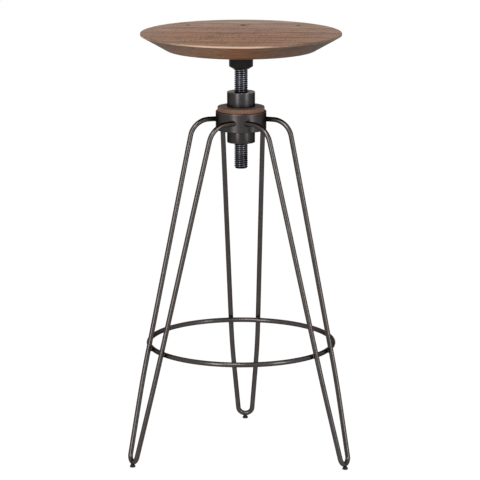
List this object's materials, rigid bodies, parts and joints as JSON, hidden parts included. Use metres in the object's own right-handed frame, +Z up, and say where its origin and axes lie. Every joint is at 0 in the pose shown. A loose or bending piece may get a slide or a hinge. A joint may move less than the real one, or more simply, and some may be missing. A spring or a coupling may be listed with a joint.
{
  "type": "machinist stool",
  "caption": "Bar-height stool with a round plank seat that screws up and down in a steel hub on hairpin rod legs with a foot ring.",
  "frame": {"origin": "on the floor, on the axis of the screw", "axes": "+Z up along the screw; +Y towards the back leg; +X to the right for someone looking along +Y"},
  "size_m": [0.4244, 0.43, 0.8198],
  "materials": {
    "aged_wood": "weathered boards, dry satin",
    "rod_steel": "dark oiled steel rod under clear lacquer",
    "hub_steel": "turned steel, dark patina",
    "blackened_steel": "black oxide, satin",
    "oiled_screw_steel": "oiled black thread",
    "rusty_washer": "brown rust patina",
    "black_paint": "satin black",
    "wood_screw_steel": "dull zinc, darkened",
    "old_iron": "old nail heads",
    "glide_rubber": "matt black"
  },
  "bodies": {
    "base": {"hub": "hub_steel", "top_washer": "rusty_washer", "upper_nut": "blackened_steel", "lower_nut": "blackened_steel", "leg_left": "rod_steel", "leg_right": "rod_steel", "leg_back": "rod_steel", "foot_ring": "rod_steel", "ring_welds": "rod_steel", "glide_left": "glide_rubber", "glide_right": "glide_rubber", "glide_back": "glide_rubber"},
    "lift": {"boss": "blackened_steel"},
    "seat": {"screw": "oiled_screw_steel", "seat_plate": "black_paint", "plate_screws": "wood_screw_steel", "old_nails": "old_iron", "board_1": "aged_wood", "board_2": "aged_wood", "board_3": "aged_wood", "board_4": "aged_wood", "board_5": "aged_wood", "board_6": "aged_wood"}
  },
  "joints": [
    {"name": "seat_lift", "type": "slide", "parent": "base", "child": "lift", "axis": [0, 0, 1], "range_m": [-0.0431, 0.0487]},
    {"name": "seat_turn", "type": "hinge", "parent": "lift", "child": "seat", "pos_m": [0, 0, 0.75], "axis": [0, 0, 1], "range_deg": [-3870, 4374]}
  ],
  "couplings": [
    {"joint": "seat_lift", "follows": "seat_turn", "m_per_rad": 0.00063662}
  ]
}
